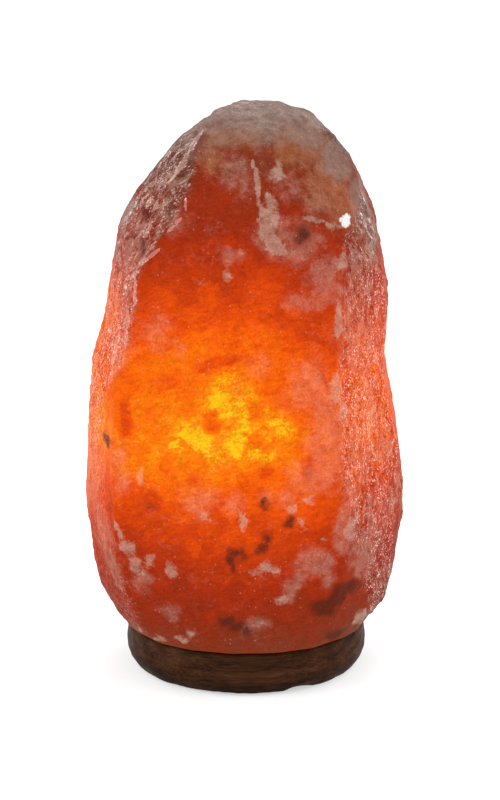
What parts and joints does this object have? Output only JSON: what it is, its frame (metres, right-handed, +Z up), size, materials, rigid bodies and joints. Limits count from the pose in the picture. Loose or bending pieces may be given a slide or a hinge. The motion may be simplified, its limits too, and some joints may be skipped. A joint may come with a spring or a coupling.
{
  "type": "salt crystal lamp",
  "caption": "Hewn, hollowed rock salt crystal on a turned wooden base, lit from inside by a candle bulb in a clip-in screw lampholder.",
  "frame": {"origin": "on the table, under the axis of the turned base", "axes": "+Z up through the base and the bulb, -Y towards the viewer and the crystal's smooth face, +X to the viewer's right; the cord groove opens at +Y"},
  "size_m": [0.1599, 0.1351, 0.2824],
  "materials": {
    "salt": "hewn rock salt, translucent, lit from inside",
    "wood": "turned hardwood, dark oil, satin",
    "rubber": "moulded, dull",
    "nylon": "moulded nylon",
    "screw_steel": "zinc plated",
    "holder_shell": "moulded, half gloss",
    "holder_core": "moulded, heat resistant",
    "brass": "pressed and turned brass",
    "spring_steel": "nickel plated spring strip",
    "clear_glass": "clear blown glass",
    "bulb_cap_metal": "nickel plated brass",
    "black_glass": "black vitreous glass",
    "solder": "soldered",
    "lamp_wire": "drawn wire",
    "tungsten": "glowing coil"
  },
  "bodies": {
    "lamp": {"salt_crystal": "salt", "wood_base": "wood", "base_screws": "screw_steel", "wall_plugs": "nylon", "rubber_foot_1": "rubber", "rubber_foot_2": "rubber", "rubber_foot_3": "rubber", "rubber_foot_4": "rubber"},
    "lampholder": {"holder_skirt": "holder_shell", "holder_cap": "holder_shell", "holder_insert": "holder_core", "cord_gland": "holder_shell", "gland_lock_screw": "screw_steel", "terminal_blocks": "brass", "terminal_screws": "screw_steel", "thread_shell": "brass", "centre_contact": "brass", "clip_band": "spring_steel", "clip_rivets": "screw_steel"},
    "wing_left": {"clip_wing_left": "spring_steel"},
    "wing_right": {"clip_wing_right": "spring_steel"},
    "bulb": {"bulb_glass": "clear_glass", "bulb_stem": "clear_glass", "lead_wires": "lamp_wire", "filament": "tungsten", "filament_support": "lamp_wire", "bulb_cap": "bulb_cap_metal", "cap_insulator": "black_glass", "tip_contact": "solder"}
  },
  "joints": [
    {"name": "holder_slide", "type": "slide", "parent": "lamp", "child": "lampholder", "axis": [0, 0, -1], "range_m": [0, 0.145]},
    {"name": "bulb_turn", "type": "hinge", "parent": "lampholder", "child": "bulb", "pos_m": [0, 0, 0.044], "axis": [0, 0, 1], "range_deg": [0, 1260]},
    {"name": "wing_left_squeeze", "type": "hinge", "parent": "lampholder", "child": "wing_left", "pos_m": [-0.01465, 0, 0.0303], "axis": [0, -1, 0], "range_deg": [0, 12], "stiffness_Nm_per_rad": 0.2},
    {"name": "wing_right_squeeze", "type": "hinge", "parent": "lampholder", "child": "wing_right", "pos_m": [0.01465, 0, 0.0303], "axis": [0, 1, 0], "range_deg": [0, 12], "stiffness_Nm_per_rad": 0.2}
  ]
}
